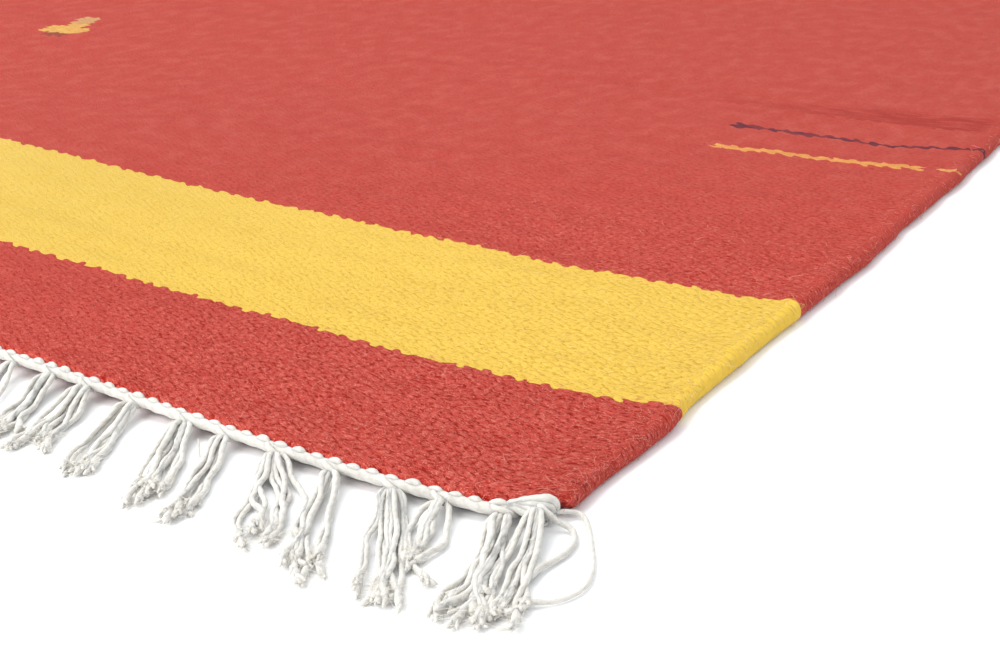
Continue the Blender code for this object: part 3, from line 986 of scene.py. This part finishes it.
# the knot at the photographed corner: the cords fold over at the selvedge and long yarns fan out of them.
# Inwards, up and height in millimetres of the uppermost strand, and the step to each below it.
knotTop = np.array([(11.6, 1.5, 3.4), (8.8, 2.5, 4.4), (6.6, 3.6, 5.0), (4.7, 4.9, 5.2), (3.3, 6.1, 5.0),
                    (2.3, 6.8, 4.3), (2.0, 6.8, 2.9), (2.5, 6.2, 1.5)])
knotStep = np.array([(0.1, -0.10, -0.20), (0.1, -0.30, -0.25), (0.1, -0.80, -0.55), (0.1, -1.20, -0.80),
                     (0.1, -1.30, -0.95), (0.2, -1.25, -0.95), (0.2, -1.15, -0.60), (0.1, -1.05, -0.10)])
knotWraps = [(0.00112 - 0.00006 * number, knotTop + knotStep * number) for number in range(4)]
looseLoops = [
    (0.00060, [(3.2, 5.2, 2.8), (1.6, 6.2, 2.4), (0.2, 8.4, 1.8), (-1.6, 10.2, 1.1), (-4.4, 8.6, 0.8),
               (-9.8, 0.8, 0.7), (-15.1, -8.3, 0.7), (-17.3, -16.4, 0.7), (-15.0, -23.4, 0.8),
               (-10.0, -27.2, 1.3), (-8.6, -27.8, 1.3)]),
    (0.00072, [(4.2, 2.9, 4.9), (2.6, 2.7, 4.5), (1.0, 2.7, 3.3), (-0.6, 3.2, 2.0), (-3.8, 3.4, 1.0),
               (-6.4, -0.2, 0.8), (-7.5, -4.6, 0.8), (-7.0, -9.6, 0.9), (-6.2, -14.8, 1.3),
               (-7.0, -19.5, 1.5)]),
]
# a lone thin strand that wanders out between two tassels
loneStrand = (0.00030, [(92.0, -3.5, 3.0), (88.0, -8.0, 0.8), (82.0, -14.5, 0.4), (80.5, -20.5, 0.4),
                        (76.0, -27.0, 0.4), (74.5, -33.0, 0.4), (77.0, -38.0, 0.4)])
knot = dict(
    place=(4.3, 3.1, 4.3),  # inwards, up, height in millimetres
    tipSide=0.0132,
    tipOut=0.0410,
    yarns=8,
    spread=0.0016,
    wave=0.9,
    fan=0.62,
    rootSpread=0.00022,
)


# yarns through given points, of slowly changing thickness and with rounded ends
def handLaid(strands, steps, seed):
    paths = np.stack([smoothPath(onRug(rows), steps) for _, rows in strands])
    share = np.linspace(0, 1, steps)[None]
    radii = np.array([radius for radius, _ in strands])[:, None]
    radii = radii * (1 + 0.10 * softNoise(share * 14 + seed, np.arange(len(strands))[:, None] * 3.0, 43))
    return paths, radii * blunt(share, 14, 0.06)


knotPlace = onRug([knot["place"]])[0]
knotTip = knotPlace[:2] + np.array([knot["tipSide"], -knot["tipOut"]])
knotYarns = yarnPaths(knotPlace, knotTip, knot["yarns"], knot["spread"], knot["wave"], 64, 77, knot["fan"],
                      knot["rootSpread"])
knotPlies = openPlies(knotYarns[0], 9, 78)
nearBatches += [
    (*handLaid(knotWraps, 30, 3), 12, 0.05, 0.009),
    (*handLaid(looseLoops, 70, 5), 9, 0.07, 0.006),
    (*handLaid([loneStrand], 48, 8), 5, 0.0, 0.006),
    (*knotYarns, *nearDetail["shapes"]["yarn"]),
    (*knotPlies, *nearDetail["shapes"]["ply"]),
]
nearTips.append(strayFibres(*knotPlies, 12, 0.0020, 1.2, 79))
nearTips.append(strayFibres(*knotYarns, 10, 0.0016, 0.6, 80))


# thin three-sided fibres in one mesh: the UV holds each one's tone and band
def fibrePiece(name, groups, material, tone):
    strands = np.concatenate([group[0] for group in groups])
    widths = np.concatenate([group[1] for group in groups])
    points, faceSets, _ = carryTubes(strands, widths, 3)
    per = strands.shape[1] * 3
    return newPiece(name, points, faceSets, [tone[faces // per] for faces in faceSets], material)


def frayedTips(name, groups, seed):
    count = sum(len(strands) for strands, _ in groups)
    return fibrePiece(name, groups, cottonFibre, np.random.default_rng(seed).random((count, 2)))


frontCornerTassels = yarnPiece("frontCornerTassels", nearBatches)
frontTassels = yarnPiece("frontTassels", frontBatches)
backTassels = yarnPiece("backTassels", backBatches)
frontFluff = frayedTips("frontFrayedTips", nearTips + frontTips, 51)
backFluff = frayedTips("backFrayedTips", backTips, 52)
frontPieces = [frontEdge, frontCornerTassels, frontTassels, frontFluff]
backPieces = [backEdge, backTassels, backFluff]
for piece in frontPieces + backPieces:
    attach(piece, "root")
    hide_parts("front_fringe" if piece in frontPieces else "back_fringe")
    print(piece.name, trianglesOf(piece), "triangles")

fuzz = dict(
    onTop=3800,
    topWidth=0.120,
    topLength=0.190,
    onEdge=1500,
    edgeAround=(-0.0036, 0.0060),
    edgeLength=0.420,
    thick=0.000058,
    shortest=0.0005,
    longest=0.0030,
    steps=6,
)


# loose wool fibres: each starts on the cloth's skin, follows the weft for a way and curls
def makeFuzz():
    dice = np.random.default_rng(61)
    total = fuzz["onTop"] + fuzz["onEdge"]
    around = np.concatenate([fuzz["topWidth"] * dice.random(fuzz["onTop"]) ** 1.3,
                             dice.uniform(*fuzz["edgeAround"], fuzz["onEdge"])])
    up = np.concatenate([fuzz["topLength"] * dice.random(fuzz["onTop"]) ** 1.2,
                         fuzz["edgeLength"] * dice.random(fuzz["onEdge"]) ** 1.2]) + 0.001
    place, out = clothSurface(around, up)
    along = np.linspace(0, 1, fuzz["steps"])
    share = along[None, :, None]
    length = fuzz["shortest"] + (fuzz["longest"] - fuzz["shortest"]) * dice.random((total, 1, 1)) ** 3.0
    angle = dice.normal(0.3, 0.8, total) + np.pi * (dice.random(total) > 0.5)
    # along the weft and the warp, in the plane of the skin
    weft = np.stack([out[:, 2], np.zeros(total), -out[:, 0]], axis=-1)
    warp = np.array([0.0, 1.0, 0.0])
    heading = weft * np.cos(angle)[:, None] + warp * np.sin(angle)[:, None]
    bend = np.cross(out, heading) * dice.normal(0, 0.9, (total, 1)) - 0.5 * heading * dice.random((total, 1))
    rise = np.abs(dice.normal(0.10, 0.14, (total, 1, 1)))
    height = rise * np.sin(np.pi * np.minimum(share * dice.uniform(0.5, 1.0, (total, 1, 1)), 1.0))
    curve = heading[:, None] * share + bend[:, None] * share ** 2 + out[:, None] * height
    strands = (place - 0.00008 * out)[:, None] + length * curve
    strands[..., 2] = np.maximum(strands[..., 2], 0.0001)
    width = fuzz["thick"] * dice.uniform(0.5, 1.3, (total, 1)) * (1 - 0.4 * along[None])
    tone = np.stack([dice.random(total) ** 1.3, 1.0 * within(up, *yellowReach)], axis=-1)
    return fibrePiece("looseWoolFibres", [(strands, width)], woolFibre, tone)


woolFuzz = makeFuzz()
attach(woolFuzz, "root")
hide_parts("woven_body")
print("loose fibres:", trianglesOf(woolFuzz), "triangles")

studio = dict(
    floorSize=6.0,
    floorDepth=-0.0002,
    floorColour=(0.95, 0.955, 0.965),
    skyColour=(0.97, 0.985, 1.0),
    sky=1.07,
    lampColour=(1.0, 0.985, 0.96),
    aim=(0.15, -0.35, 0.0),
    # place, size and power
    softKey=((-0.75, -0.30, 2.0), 1.6, 22.0),
    softFill=((-0.55, -1.95, 1.15), 1.4, 33.0),
)


def makeFloor():
    size, depth = studio["floorSize"] / 2, studio["floorDepth"]
    mesh = bpy.data.meshes.new("studioFloor")
    corners = [(-size, -size, depth), (size, -size, depth), (size, size, depth), (-size, size, depth)]
    mesh.from_pydata(corners, [], [(0, 1, 2, 3)])
    material, shader = newMaterial("paleFloor", 0.9, 0.0, 0.5, (1.0, 1.0, 1.0), 0.1)
    feed(shader.inputs["Base Color"], studio["floorColour"])
    mesh.materials.append(material)
    return addObject("studioFloor", mesh)


def makeLamp(name):
    place, size, power = studio[name]
    lamp = bpy.data.lights.new(name, "AREA")
    lamp.shape = "DISK"
    lamp.size = size
    lamp.energy = power
    lamp.color = studio["lampColour"]
    light = addObject(name, lamp)
    light.location = place
    towards = Vector(studio["aim"]) - Vector(place)
    light.rotation_euler = towards.to_track_quat("-Z", "Y").to_euler()


def makeSky():
    world = bpy.data.worlds.new("studioSky")
    world.use_nodes = True
    sky = world.node_tree.nodes["Background"]
    feed(sky.inputs["Color"], studio["skyColour"])
    feed(sky.inputs["Strength"], studio["sky"])
    bpy.context.scene.world = world


# the camera, low over the front right corner, looks along the rug to its far left
view = dict(
    place=(0.4566, -0.7190, 0.1724),
    turn=31.44,  # degrees from +Y towards -X
    down=21.82,
    roll=-1.04,
    focal=1700.0,  # in pixels of the photograph
    imageWidth=1000.0,
    sensor=36.0,
)


# axes from the turn, the tilt down and the roll about the way it looks
def makeCamera():
    turn, down, roll = (math.radians(view[name]) for name in ("turn", "down", "roll"))
    ahead = Vector((-math.sin(turn) * math.cos(down), math.cos(turn) * math.cos(down), -math.sin(down)))
    right = Vector((math.cos(turn), math.sin(turn), 0.0))
    above = right.cross(ahead)
    rightRolled = right * math.cos(roll) + above * math.sin(roll)
    aboveRolled = above * math.cos(roll) - right * math.sin(roll)
    lens = bpy.data.cameras.new("photoCamera")
    lens.sensor_width = view["sensor"]
    lens.lens = view["sensor"] * view["focal"] / view["imageWidth"]
    lens.clip_start = 0.01
    camera = addObject("photoCamera", lens)
    rotation = Matrix((rightRolled, aboveRolled, -ahead)).transposed()
    camera.matrix_world = Matrix.Translation(view["place"]) @ rotation.to_4x4()
    bpy.context.scene.camera = camera


floor = makeFloor()
makeLamp("softKey")
makeLamp("softFill")
makeSky()
bpy.context.scene.view_settings.view_transform = "Standard"
makeCamera()
print("studio and camera ready")

frontPieces + backPieces + [woolFuzz]
